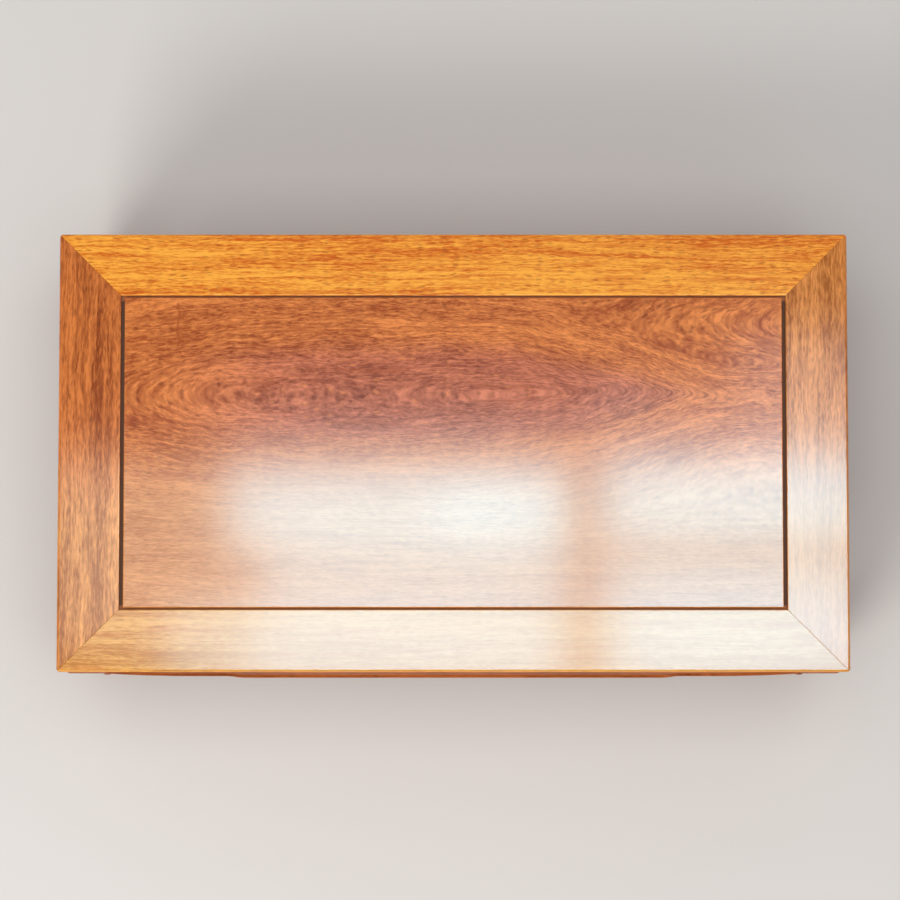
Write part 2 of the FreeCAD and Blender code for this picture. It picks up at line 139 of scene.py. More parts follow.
# Growth lines: length, soft edge, how they break up and fade, and strength
LINE_LENGTH = 0.30
LINE_EDGE = (0.0, 0.05)
LINE_BREAKS = (5.0, 0.6, 0.6)
LINE_FADE = (0.42, 0.62)
LINE_STRENGTH = 0.5
# Pores, pale flecks and small marks: the share of places that hold one, their edges and strength
PORE_SHARE = 0.40
PORE_EDGE = (0.14, 0.42)
PORE_STRENGTH = 0.5
FLECK_SHARE = 0.25
FLECK_SHIFT = (0.5, 0.5, 0.5)
FLECK_STRENGTH = 0.35
MARK_SHARE = 0.6
MARK_EDGE = (0.5, 1.0)
MARK_STRENGTH = 0.4
# Where the top's wood starts to grow paler towards the front and where it is fully pale,
# and the share of its lines and pores that pales with it. The paleness is partly a real fade of the wood
# and partly painted sheen, standing in for the reflection of the overhead windows over the front
FRAME_FADE_AND_SHEEN = (0.03, -0.07)
PANEL_FADE_AND_SHEEN = (0.03, -0.05)
FADE_AND_SHEEN_CALM = 0.42
# How far down the edges the paler front, real fade and painted sheen, reaches
FADE_AND_SHEEN_DEPTH = 0.005
# Where the right short member stands, and how far it is painted paler along its whole length,
# partly a real fade and partly painted sheen
FADE_AND_SHEEN_RIGHT = (0.20, 0.25)
FADE_AND_SHEEN_RIGHT_SHARE = 0.6
# Where the streaks grow calm along the stand and towards its front, and how calm.
# The calm streaks are painted sheen: they stand in for the windows' reflection washing out the grain
CALM_RIGHT = (-0.25, -0.13)
CALM_FRONT = (0.035, -0.03)
RAIL_CALM = 0.60
PANEL_CALM = 0.55
STILE_CALM = 0.67
# How much straighter the grain of panel and long members runs at the front
STRAIGHT_FRONT = 0.75
# Paler front wood, partly a real fade and partly painted sheen: its two colours, where it pales,
# its share on the right short member, how calm its streaks are and how straight its grain
FadeAndSheen = namedtuple("FadeAndSheen", "light dark reach right calm straight")
# A short line across the grain near the panel's back left corner: place, ends, half width,
# how crooked it is, how its ends fade, and strength
CROSS_LINE_X = -0.2093
CROSS_LINE_ENDS = (0.077, 0.115)
CROSS_LINE_HALF = 0.0016
CROSS_LINE_CROOK = 0.006
CROSS_LINE_BENDS = (0.0, 90.0, 0.0)
CROSS_LINE_FADE = (0.006, 0.002)
CROSS_LINE_STRENGTH = 0.6
# The panel's figure: how it closes to the left, how blunt its middle is,
# how it bows to the right, and its flame
LENS_CLOSING = 0.0125
LENS_ROUNDING = 0.05
LENS_BLUNT = (0.016, 0.003)
LENS_BLUNT_REACH = (-0.05, 0.08)
LENS_BOW = 0.05
LENS_BOW_ROUNDING = 0.02
LENS_BOW_REACH = (0.03, 0.12)
FLAME_CLOSING = 0.0095
FLAME_RINGS = 0.036
FLAME_ROUNDING = 0.012
# Rings of the lens that the wine-brown heart fills, and where it starts at the left
HEART_RINGS = (0.028, 0.050)
HEART_LEFT = (-0.25, -0.10)
# The groove round the panel, over and under its tongue, and where its long sides start
GROOVE_TOP = (0.0015, 0.0035)
GROOVE_BOTTOM = (-0.002, -0.001)
GROOVE_LONG = (-0.004, -0.003)
# Relief of pores and streaks
PORE_DEPTH = 0.6
STREAK_HEIGHT = 0.2
RELIEF_STRENGTH = 0.06
RELIEF_DISTANCE = 0.0001
# The finish of a wood: its roughness, its coat's weight and roughness, and the gloss under the coat
Finish = namedtuple("Finish", "roughness coat coat_roughness gloss")
# How uneven the polish is, the scales of its wide and fine patches, and how strongly it reflects
POLISH_SPREAD = 0.2
POLISH_WIDE = (9.0, 14.0, 14.0)
POLISH_FINE = (60.0, 420.0, 420.0)
COAT_IOR = 1.6
# How much of the gloss the dark streaks and the pores take away
STREAK_DULLING = 0.14
PORE_DULLING = 0.12
# How far each overhead lamp hangs over the one before it, and the soft lamp over the camera
LAMP_RISE = 0.01
SOFT_RISE = 0.25
SOFT_SIZE = (2.0, 2.0)
KEY_PLACE = (-1.3, -1.9, 1.7)
KEY_TARGET = (0.0, 0.0, 0.08)
KEY_SIZE = (1.4, 1.0)
FLOOR_REACH = 8.0
FLOOR_SHADE = 0.97
FLOOR_MOTTLE = (3.0, 3.0, 3.0)
FLOOR_ROUGHNESS = 0.8
FLOOR_GLOSS = 0.2
# Between which heights of the sky the daylight gives way to the ceiling
CEILING_EDGE = (0.62, 0.92)
# Easing of the edges: what is merged, what is flat, what is sharp, and where shading breaks
MERGE_DISTANCE = 0.00001
FLAT_ANGLE = math.radians(0.5)
SHARP_ANGLE = math.radians(35)
BREAK_ANGLE = math.radians(30)
# Reflections of the room's windows in the top: columns and rows in the photograph, and radiance
WINDOWS = (
    ("window_bright", (430, 560), (488, 532), 4.6),
    ("window_left", (228, 566), (469, 547), 13.6),
    ("window_left_low", (262, 566), (547, 606), 8.3),
    ("window_right", (604, 880), (461, 540), 14.5),
    ("window_right_low", (604, 880), (562, 606), 11.1),
    ("window_front_left", (165, 250), (606, 700), 7.2),
)
FRONT_WINDOWS = (
    ("window_front", (250, 566), (606, 700), 12.4),
    ("window_front_right", (604, 880), (606, 700), 14.0),
)
GLOWS = (
    ("glow_side", (735, 900), (335, 468), 3.1),
    ("glow_middle", (590, 735), (385, 450), 1.6),
    ("glow_left", (40, 228), (459, 660), 3.1),
    ("glow_wide", (228, 880), (432, 700), 2.9),
)


def colour(label, note, value):
    """A colour that a user may change, in linear values."""
    return FloatVectorProperty(
        name=label, description=note, default=value, size=3, min=0.0, max=1.0, subtype="COLOR"
    )


def length(label, note, value):
    """A length that a user may change, in metres."""
    return FloatProperty(name=label, description=note, default=value, unit="LENGTH", precision=5)


def share(label, note, value):
    """A share of one that a user may change."""
    return FloatProperty(name=label, description=note, default=value, min=0.0, max=1.0, subtype="FACTOR")


def strength(label, note, value):
    """A strength of light that a user may change."""
    return FloatProperty(name=label, description=note, default=value, min=0.0)


class StandTimber(PropertyGroup):
    """Colours of the stand's timbers and of what lies in their pores and joints."""

    panel_light: colour("Panel light", "Light streaks of the panel", (0.86, 0.285, 0.065))
    panel_dark: colour("Panel dark", "Dark streaks of the panel", (0.33, 0.06, 0.006))
    heart_light: colour(
        "Heart light", "Light streaks of the panel's wine-brown heart", (0.70, 0.21, 0.100)
    )
    heart_dark: colour(
        "Heart dark", "Dark streaks of the panel's wine-brown heart", (0.25, 0.050, 0.016)
    )
    rail_light: colour("Rail light", "Light streaks of the long members", (1.0, 0.45, 0.048))
    rail_dark: colour("Rail dark", "Dark streaks of the long members", (0.61, 0.112, 0.0))
    stile_light: colour("Stile light", "Light streaks of the short members", (0.71, 0.21, 0.040))
    stile_dark: colour("Stile dark", "Dark streaks of the short members", (0.26, 0.048, 0.002))
    base_light: colour("Base light", "Light streaks of waist, aprons and legs", (0.50, 0.14, 0.030))
    base_dark: colour("Base dark", "Dark streaks of waist, aprons and legs", (0.20, 0.040, 0.007))
    inner_light: colour("Inner light", "Light streaks of the bare battens", (0.50, 0.26, 0.12))
    inner_dark: colour("Inner dark", "Dark streaks of the bare battens", (0.30, 0.13, 0.05))
    # Paler front colours: partly a real fade of the wood, partly painted sheen standing in for the
    # windows' reflection
    panel_fade_and_sheen_light: colour(
        "Panel fade and sheen light", "Light streaks of the panel's front", (0.75, 0.315, 0.067)
    )
    panel_fade_and_sheen_dark: colour(
        "Panel fade and sheen dark", "Dark streaks of the panel's front", (0.43, 0.127, 0.005)
    )
    rail_fade_and_sheen_light: colour(
        "Rail fade and sheen light", "Light streaks of the front member", (0.80, 0.415, 0.083)
    )
    rail_fade_and_sheen_dark: colour("Rail fade and sheen dark", "Dark streaks of the front member", (0.52, 0.188, 0.009))
    stile_fade_and_sheen_light: colour(
        "Stile fade and sheen light", "Light streaks of the short members' fronts", (0.86, 0.37, 0.075)
    )
    stile_fade_and_sheen_dark: colour(
        "Stile fade and sheen dark", "Dark streaks of the short members' fronts", (0.38, 0.115, 0.004)
    )
    pore_shade: share("Pore shade", "Brightness of the filled pores against the dark streaks", 0.45)
    dust: colour("Dust", "Dust at the bottom of the panel's short gaps", (0.24, 0.13, 0.08))
    tongue: colour("Tongue", "The panel's tongue at the bottom of its long gaps", (0.68, 0.30, 0.13))


class StandGrain(PropertyGroup):
    """Sizes of the wood's figure, its pores and its eased edges."""

    arris: length("Arris", "Width of the eased edges", 0.00022)
    wander: length("Wander", "How far the grain wanders to the sides", 0.013)
    swirl: length("Swirl", "How far the panel's grain swirls to the sides", 0.009)
    ripple: length("Ripple", "How far the grain ripples to the sides", 0.0022)
    pore_length: length("Pore length", "Length of a pore along the grain", 0.009)
    pore_gap: length("Pore gap", "Distance between pores across the grain", 0.0016)
    line_gap: length("Line gap", "Distance between growth lines", 0.0065)
    mark_gap: length("Mark gap", "Distance between small marks", 0.055)
    mark_size: length("Mark size", "Half width of a small mark", 0.0012)
    figure_left: length(
        "Figure left", "Where the panel's figure starts to close, along the stand", -0.185
    )
    figure_right: length(
        "Figure right", "Where the panel's figure starts to narrow, along the stand", -0.028
    )
    figure_y: length("Figure back", "Axis of the panel's figure towards the back", 0.0437)
    flame_y: length("Flame back", "Axis of the flame at the panel's back right", 0.099)
    flame_end: length("Flame end", "Where the flame's rings close, along the stand", 0.27)


class StandPolish(PropertyGroup):
    """How glossy the finish is and how worn its edges are."""

    roughness: share("Roughness", "Roughness of the wood under the polish", 0.42)
    coat: share("Coat", "Weight of the polish", 1.0)
    coat_roughness: share("Coat roughness", "Roughness of the polish", 0.105)
    bare_roughness: share("Bare roughness", "Roughness of the unpolished battens", 0.7)
    wear: share("Wear", "Paleness of the rubbed edges", 0.35)
    # The lips' paleness is a painted highlight where the outermost base catches the light
    painted_lip_highlight: share("Painted lip highlight", "Paleness of the painted highlight on the aprons' lips", 0.8)
    base_coat: share("Base coat", "Weight of the wax on waist, aprons and legs", 0.35)
    top_gloss: share("Top gloss", "Gloss of the top's wood under its polish", 0.08)
    bare_gloss: share("Bare gloss", "Gloss of the unpolished battens", 0.2)


class StandStudio(PropertyGroup):
    """Camera, lamps and floor of the studio."""

    lens: FloatProperty(name="Lens", description="Focal length", default=120.0, unit="CAMERA")
    camera_x: length("Camera across", "Camera's place along the stand", -0.0025)
    camera_y: length("Camera back", "Camera's place towards the back", -0.1553)
    camera_height: length("Camera height", "Camera's height over the floor", 2.4212)
    tilt: FloatProperty(
        name="Tilt", description="Camera's turn from straight down",
        default=math.radians(3.95), subtype="ANGLE",
    )
    floor: colour("Floor", "Colour of the floor", (0.74, 0.74, 0.74))
    daylight: strength("Daylight", "Strength of the light from all sides", 0.62)
    daylight_tint: colour("Daylight tint", "Colour of the light from all sides", (1.0, 0.97, 0.95))
    ceiling: strength("Ceiling", "Strength of the light from overhead", 0.09)
    backdrop: strength("Backdrop", "Brightness of the far background", 0.8)
    windows: strength("Windows", "Share of the overhead windows' light", 1.0)
    window_tint: colour("Window tint", "Cool daylight of the overhead windows", (0.30, 0.82, 1.0))
    front_tint: colour("Front tint", "Cooler daylight of the front row of windows", (0.25, 0.735, 1.0))
    glow_tint: colour("Glow tint", "Light of the dim parts of the ceiling", (0.85, 0.93, 1.0))
    key_tint: colour("Key tint", "Warm light of the large front lamp", (1.0, 0.95, 0.90))
    key_power: strength("Key", "Power of the large front lamp", 38.0)
    soft_power: strength("Soft light", "Power of the overhead soft lamp", 27.8)


# Node building
def fill(tree, socket, value):
    """Links a socket to another node's output, or sets its value."""
    if isinstance(value, bpy.types.NodeSocket):
        tree.links.new(value, socket)
    else:
        socket.default_value = value


def place(tree, kind, inputs=None, **settings):
    """Adds a node with its settings, and fills its inputs."""
    node = tree.nodes.new(kind)
    for name, value in settings.items():
        setattr(node, name, value)
    for key, value in (inputs or {}).items():
        fill(tree, node.inputs[key], value)
    return node


def maths(tree, operation, first, second=0.0, third=0.0):
    return place(tree, "ShaderNodeMath", {0: first, 1: second, 2: third}, operation=operation).outputs[0]


def ranged(tree, value, low, high, to_low=0.0, to_high=1.0):
    """Takes a value smoothly from one range to another."""
    inputs = {0: value, 1: low, 2: high, 3: to_low, 4: to_high}
    return place(tree, "ShaderNodeMapRange", inputs, interpolation_type="SMOOTHSTEP").outputs[0]


def tint(tree, amount, first, second):
    inputs = {0: amount, 6: first, 7: second}
    return place(tree, "ShaderNodeMix", inputs, data_type="RGBA").outputs[2]


def vector_maths(tree, operation, first, second):
    return place(tree, "ShaderNodeVectorMath", {0: first, 1: second}, operation=operation).outputs[0]


def split(tree, vector):
    return place(tree, "ShaderNodeSeparateXYZ", {0: vector}).outputs


def joined(tree, x, y, z):
    return place(tree, "ShaderNodeCombineXYZ", {0: x, 1: y, 2: z}).outputs[0]


def noise(tree, vector, detail=2.0, roughness=0.5):
    inputs = {"Vector": vector, "Scale": 1.0, "Detail": detail, "Roughness": roughness}
    return place(tree, "ShaderNodeTexNoise", inputs).outputs


def opaque(value):
    return (*value, 1.0)


def new_group(name, inputs, outputs):
    """A shader node group with named sockets: its tree, what comes in and what goes out."""
    tree = bpy.data.node_groups.new(name, "ShaderNodeTree")
    for label, kind in inputs:
        tree.interface.new_socket(label, in_out="INPUT", socket_type=kind)
    for label, kind in outputs:
        tree.interface.new_socket(label, in_out="OUTPUT", socket_type=kind)
    return tree, tree.nodes.new("NodeGroupInput").outputs, tree.nodes.new("NodeGroupOutput").inputs


def use_group(tree, group, **inputs):
    """Places a node group in a tree. Inputs are given by their names in lower case."""
    node = place(tree, "ShaderNodeGroup", node_tree=group)
    for name, value in inputs.items():
        fill(tree, node.inputs[name.replace("_", " ").capitalize()], value)
    return node.outputs[0]


# Shared effects of the wood
def course_group():
    """Lets the grain wander to the sides as it runs along X."""
    tree, given, out = new_group(
        "Grain Course",
        [
            ("Vector", "NodeSocketVector"),
            ("Wander", "NodeSocketFloat"),
            ("Swirl", "NodeSocketFloat"),
            ("Ripple", "NodeSocketFloat"),
        ],
        [("Course", "NodeSocketVector")],
    )
    course = given["Vector"]
    for reach, scale in COURSE_BENDS:
        drift = noise(tree, vector_maths(tree, "MULTIPLY", given["Vector"], scale), 2.0)[1]
        drift = vector_maths(tree, "SUBTRACT", drift, (0.5, 0.5, 0.5))
        side = joined(tree, 0.0, given[reach], given[reach])
        course = vector_maths(tree, "ADD", course, vector_maths(tree, "MULTIPLY", drift, side))
    fill(tree, out["Course"], course)
    return tree


def streaks_group():
    """Streaks along X of a length and a width, as a mask round one half."""
    tree, given, out = new_group(
        "Wood Streaks",
        [
            ("Vector", "NodeSocketVector"),
            ("Length", "NodeSocketFloat"),
            ("Width", "NodeSocketFloat"),
            ("Contrast", "NodeSocketFloat"),
        ],
        [("Mask", "NodeSocketFloat")],
    )
    along = maths(tree, "DIVIDE", 1.0, given["Length"])
    across = maths(tree, "DIVIDE", 1.0, given["Width"])
    scaled = vector_maths(tree, "MULTIPLY", given["Vector"], joined(tree, along, across, across))
    value = maths(tree, "SUBTRACT", noise(tree, scaled, *STREAK_NOISE)[0], 0.5)
    value = maths(tree, "MULTIPLY_ADD", value, given["Contrast"], 0.5)
    fill(tree, out["Mask"], maths(tree, "MINIMUM", maths(tree, "MAXIMUM", value, 0.0), 1.0))
    return tree


def pores_group():
    """Short filled pores along X, scattered unevenly."""
    tree, given, out = new_group(
        "Wood Pores",
        [
            ("Vector", "NodeSocketVector"),
            ("Length", "NodeSocketFloat"),
            ("Gap", "NodeSocketFloat"),
            ("Share", "NodeSocketFloat"),
        ],
        [("Mask", "NodeSocketFloat")],
    )
    along = maths(tree, "DIVIDE", 1.0, given["Length"])
    across = maths(tree, "DIVIDE", 1.0, given["Gap"])
    scaled = vector_maths(tree, "MULTIPLY", given["Vector"], joined(tree, along, across, across))
    cells = place(tree, "ShaderNodeTexVoronoi", {"Vector": scaled, "Scale": 1.0}).outputs
    inside = ranged(tree, cells["Distance"], *PORE_EDGE, 1.0, 0.0)
    chance = split(tree, cells["Color"])[0]
    kept = maths(tree, "LESS_THAN", chance, given["Share"])
    fill(tree, out["Mask"], maths(tree, "MULTIPLY", inside, kept))
    return tree


def lines_group():
    """Thin dark growth lines along X that come and go."""
    tree, given, out = new_group(
        "Growth Lines",
        [("Vector", "NodeSocketVector"), ("Length", "NodeSocketFloat"), ("Gap", "NodeSocketFloat")],
        [("Mask", "NodeSocketFloat")],
    )
    along = maths(tree, "DIVIDE", 1.0, given["Length"])
    across = maths(tree, "DIVIDE", 1.0, given["Gap"])
    scaled = vector_maths(tree, "MULTIPLY", given["Vector"], joined(tree, along, across, across))
    level = maths(tree, "ABSOLUTE", maths(tree, "SUBTRACT", noise(tree, scaled, 1.0)[0], 0.5))
    thin = ranged(tree, level, *LINE_EDGE, 1.0, 0.0)
    fading = noise(tree, vector_maths(tree, "MULTIPLY", scaled, LINE_BREAKS), 2.0)[0]
    fill(tree, out["Mask"], maths(tree, "MULTIPLY", thin, ranged(tree, fading, *LINE_FADE)))
    return tree


def marks_group():
    """A few small dents and scuffs, far apart."""
    tree, given, out = new_group(
        "Small Marks",
        [("Vector", "NodeSocketVector"), ("Gap", "NodeSocketFloat"), ("Size", "NodeSocketFloat")],
        [("Mask", "NodeSocketFloat")],
    )
    scale = maths(tree, "DIVIDE", 1.0, given["Gap"])
    cells = place(tree, "ShaderNodeTexVoronoi", {"Vector": given["Vector"], "Scale": scale}).outputs
    reach = maths(tree, "MULTIPLY", cells["Distance"], given["Gap"])
    spot = ranged(tree, maths(tree, "DIVIDE", reach, given["Size"]), *MARK_EDGE, 1.0, 0.0)
    kept = maths(tree, "LESS_THAN", split(tree, cells["Color"])[0], MARK_SHARE)
    fill(tree, out["Mask"], maths(tree, "MULTIPLY", spot, kept))
    return tree


def wear_and_lip_highlight_group():
    """Rubbed edges, and the painted highlight on the base's lips: a mask near the outline of a rectangle,
    from a level upwards.
    """
    tree, given, out = new_group(
        "Edge Wear And Lip Highlight",
        [
            ("Vector", "NodeSocketVector"),
            ("Half length", "NodeSocketFloat"),
            ("Half depth", "NodeSocketFloat"),
            ("Reach", "NodeSocketFloat"),
            ("Level", "NodeSocketFloat"),
        ],
        [("Mask", "NodeSocketFloat")],
    )
    x, y, z = split(tree, given["Vector"])
    past_end = maths(tree, "SUBTRACT", maths(tree, "ABSOLUTE", x), given["Half length"])
    past_side = maths(tree, "SUBTRACT", maths(tree, "ABSOLUTE", y), given["Half depth"])
    past = maths(tree, "DIVIDE", maths(tree, "MAXIMUM", past_end, past_side), given["Reach"])
    near = ranged(tree, past, -1.0, 0.0)
    high = ranged(tree, maths(tree, "SUBTRACT", z, given["Level"]), 0.0, WEAR_BAND)
    patches = noise(tree, vector_maths(tree, "MULTIPLY", given["Vector"], WEAR_PATCHES), 3.0)[0]
    broken = ranged(tree, patches, *WEAR_BREAKS)
    fill(tree, out["Mask"], maths(tree, "MULTIPLY", maths(tree, "MULTIPLY", near, high), broken))
    return tree


def polish_group():
    """A roughness that hands and cloths have left uneven."""
    tree, given, out = new_group(
        "Hand Polish",
        [("Vector", "NodeSocketVector"), ("Roughness", "NodeSocketFloat"), ("Spread", "NodeSocketFloat")],
        [("Roughness", "NodeSocketFloat")],
    )
    wide = noise(tree, vector_maths(tree, "MULTIPLY", given["Vector"], POLISH_WIDE), 3.0, 0.6)[0]
    fine = noise(tree, vector_maths(tree, "MULTIPLY", given["Vector"], POLISH_FINE), 2.0)[0]
    mixed = maths(tree, "MULTIPLY_ADD", fine, 0.5, maths(tree, "MULTIPLY", wide, 0.5))
    shift = maths(tree, "MULTIPLY", maths(tree, "SUBTRACT", mixed, 0.5), given["Spread"])
    fill(tree, out["Roughness"], maths(tree, "ADD", given["Roughness"], shift))
    return tree


def shared_groups():
    """The node groups, each built once."""
    makers = {
        "Grain Course": course_group,
        "Wood Streaks": streaks_group,
        "Wood Pores": pores_group,
        "Growth Lines": lines_group,
        "Small Marks": marks_group,
        "Edge Wear And Lip Highlight": wear_and_lip_highlight_group,
        "Hand Polish": polish_group,
    }
    return {name: bpy.data.node_groups.get(name) or make() for name, make in makers.items()}


# Woods
def panel_figure(tree, course, grain):
    """Bends the panel's grain into a long lens and a flame: its rings take the place of Y."""
    x, y, z = split(tree, course)
    across = maths(tree, "SUBTRACT", y, grain.figure_y)
    left = maths(tree, "SMOOTH_MAX", maths(tree, "SUBTRACT", grain.figure_left, x), 0.0, LENS_ROUNDING)
    right = maths(tree, "MAXIMUM", maths(tree, "SUBTRACT", x, grain.figure_right), 0.0)
    blunt = ranged(tree, x, *LENS_BLUNT_REACH, *LENS_BLUNT)
    spread = maths(tree, "MULTIPLY_ADD", across, across, maths(tree, "MULTIPLY", blunt, blunt))
    offset = maths(tree, "SQRT", maths(tree, "MULTIPLY_ADD", left, LENS_CLOSING, spread))
    closing = ranged(tree, offset, *LENS_BOW_REACH, 1.0, 0.0)
    bow = maths(tree, "SMOOTH_MIN", maths(tree, "MULTIPLY", right, right), LENS_BOW, LENS_BOW_ROUNDING)
    lens = maths(tree, "MULTIPLY_ADD", bow, closing, offset)
    flame_across = maths(tree, "SUBTRACT", y, grain.flame_y)
    flame_depth = maths(tree, "MULTIPLY", maths(tree, "SUBTRACT", grain.flame_end, x), FLAME_CLOSING)
    flame = maths(tree, "SQRT", maths(tree, "MULTIPLY_ADD", flame_across, flame_across, flame_depth))
    ring = maths(tree, "SMOOTH_MIN", lens, maths(tree, "ADD", flame, FLAME_RINGS), FLAME_ROUNDING)
    return joined(tree, x, ring, z), lens


def layered(tree, masks):
    """Adds masks round one half, each with its weight."""
    total = 0.5 - sum(weight for _, weight in masks) / 2
    for mask, weight in masks:
        total = maths(tree, "MULTIPLY_ADD", mask, weight, total)
    return maths(tree, "MINIMUM", maths(tree, "MAXIMUM", total, 0.0), 1.0)


def cross_line(tree, spot):
    """A short crooked line across the panel's grain."""
    x, y, _ = split(tree, spot)
    crook = noise(tree, vector_maths(tree, "MULTIPLY", spot, CROSS_LINE_BENDS), 2.0)[0]
    bend = maths(tree, "SUBTRACT", crook, 0.5)
    middle = maths(tree, "MULTIPLY_ADD", bend, CROSS_LINE_CROOK, CROSS_LINE_X)
    away = maths(tree, "ABSOLUTE", maths(tree, "SUBTRACT", x, middle))
    near = ranged(tree, away, 0.0, CROSS_LINE_HALF, 1.0, 0.0)
    low, high = CROSS_LINE_ENDS
    above = ranged(tree, y, low, low + CROSS_LINE_FADE[0])
    below = ranged(tree, y, high - CROSS_LINE_FADE[1], high, 1.0, 0.0)
    return maths(tree, "MULTIPLY", near, maths(tree, "MULTIPLY", above, below))


def grain_course(tree, spot, turn, swirl, bent):
    """The course of the grain, along X after the turn, with a share of its swirls and ripples."""
    grain = bpy.context.scene.stand_grain
    turned = place(tree, "ShaderNodeMapping", {"Vector": spot, "Rotation": turn}).outputs[0]
    return use_group(
        tree, shared_groups()["Grain Course"], vector=turned, wander=grain.wander,
        swirl=maths(tree, "MULTIPLY", bent, swirl), ripple=maths(tree, "MULTIPLY", bent, grain.ripple),
    )


def streak_tone(tree, course, layers, y, inner):
    """Layers of streaks round one half, lighter towards a long member's inner edge."""
    masks = []
    for along, across, weight in layers:
        mask = use_group(
            tree, shared_groups()["Wood Streaks"], vector=course,
            length=along, width=across, contrast=STREAK_CONTRAST,
        )
        masks.append((mask, weight))
    if inner is not None:
        masks.append((ranged(tree, maths(tree, "ABSOLUTE", y), *inner, 1.0, 0.0), INNER_WEIGHT))
    return layered(tree, masks)


def streak_strength(tree, x, y, calm):
    """How strong the streaks are, less so towards the right and the front: the calmer streaks are painted
    sheen.
    """
    calm = ranged(tree, x, *CALM_RIGHT, 0.0, calm)
    calm = maths(tree, "MULTIPLY", calm, ranged(tree, y, *CALM_FRONT))
    return maths(tree, "SUBTRACT", 1.0, calm)


def fade_and_sheen_share(tree, x, z, front, right):
    """How far the upper face is painted paler, at the front and on the right short member: partly a real
    fade, partly painted sheen.
    """
    right = ranged(tree, x, *FADE_AND_SHEEN_RIGHT, 0.0, right)
    upper = ranged(tree, z, TOP_LEVEL - FADE_AND_SHEEN_DEPTH, TOP_LEVEL - FADE_AND_SHEEN_DEPTH / 3)
    return maths(tree, "MULTIPLY", maths(tree, "MAXIMUM", front, right), upper)


def heartwood(tree, x, rings, tone, shade):
    """The panel's wine-brown heart over a shade."""
    timber = bpy.context.scene.stand_timber
    heart = ranged(tree, rings, *HEART_RINGS, 1.0, 0.0)
    heart = maths(tree, "MULTIPLY", heart, ranged(tree, x, *HEART_LEFT))
    core = tint(tree, tone, opaque(timber.heart_dark), opaque(timber.heart_light))
    return tint(tree, heart, shade, core)


def fine_grain(tree, course, shade, light, dark, vivid):
    """Growth lines, pale flecks and pores over a shade. Gives the pores too, whole and as they show."""
    grain = bpy.context.scene.stand_grain
    groups = shared_groups()
    lines = use_group(tree, groups["Growth Lines"], vector=course, length=LINE_LENGTH, gap=grain.line_gap)
    lines = maths(tree, "MULTIPLY", lines, vivid)
    shade = tint(tree, maths(tree, "MULTIPLY", lines, LINE_STRENGTH), shade, opaque(dark))
    flecks = use_group(
        tree, groups["Wood Pores"], vector=vector_maths(tree, "ADD", course, FLECK_SHIFT),
        length=grain.pore_length, gap=grain.pore_gap, share=FLECK_SHARE,
    )
    flecks = maths(tree, "MULTIPLY", flecks, vivid)
    shade = tint(tree, maths(tree, "MULTIPLY", flecks, FLECK_STRENGTH), shade, opaque(light))
    pores = use_group(
        tree, groups["Wood Pores"], vector=course,
        length=grain.pore_length, gap=grain.pore_gap, share=PORE_SHARE,
    )
    filled = tuple(channel * bpy.context.scene.stand_timber.pore_shade for channel in dark)
    shown = maths(tree, "MULTIPLY", pores, vivid)
    shade = tint(tree, maths(tree, "MULTIPLY", shown, PORE_STRENGTH), shade, opaque(filled))
    return shade, pores, shown


def rubbed_edges_and_lip_highlight(tree, spot, shade, light, wear):
    """Pale rubbed edges over a shade; on the base, a painted highlight on the lips."""
    rubbed = use_group(
        tree, shared_groups()["Edge Wear And Lip Highlight"], vector=spot, half_length=wear.half_length,
        half_depth=wear.half_depth, reach=wear.reach, level=wear.level,
    )
    return tint(tree, maths(tree, "MULTIPLY", rubbed, wear.paleness), shade, opaque(light))


def panel_groove(tree, y, z, shade, gloss):
    """The groove round the panel: dust at its ends, the tongue along its sides, and no gloss."""
    timber = bpy.context.scene.stand_timber
    rise = maths(tree, "SUBTRACT", z, TONGUE_LEVEL)
    low = ranged(tree, rise, *GROOVE_TOP, 1.0, 0.0)
    groove = maths(tree, "MULTIPLY", low, ranged(tree, rise, *GROOVE_BOTTOM))
    past = maths(tree, "SUBTRACT", maths(tree, "ABSOLUTE", y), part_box("top_rail_back")[0].y)
    beside_rail = ranged(tree, past, *GROOVE_LONG)
    bottom = tint(tree, beside_rail, opaque(timber.dust), opaque(timber.tongue))
    gloss = maths(tree, "MULTIPLY", gloss, maths(tree, "SUBTRACT", 1.0, low))
    return tint(tree, groove, shade, bottom), gloss


def surface(tree, course, finish, shade, gloss, height):
    """Fills the shader with colour, roughness, polish and relief."""
    shader = tree.nodes["Principled BSDF"]
    rough = use_group(
        tree, shared_groups()["Hand Polish"], vector=course,
        roughness=finish.roughness, spread=POLISH_SPREAD,
    )
    relief = {"Strength": RELIEF_STRENGTH, "Distance": RELIEF_DISTANCE, "Height": height}
    bump = place(tree, "ShaderNodeBump", relief)
    fill(tree, shader.inputs["Base Color"], shade)
    fill(tree, shader.inputs["Roughness"], rough)
    fill(tree, shader.inputs["Coat Weight"], gloss if finish.coat else 0.0)
    fill(tree, shader.inputs["Normal"], bump.outputs[0])
    shader.inputs["Coat Roughness"].default_value = finish.coat_roughness
    shader.inputs["Coat IOR"].default_value = COAT_IOR
    shader.inputs["Specular IOR Level"].default_value = finish.gloss


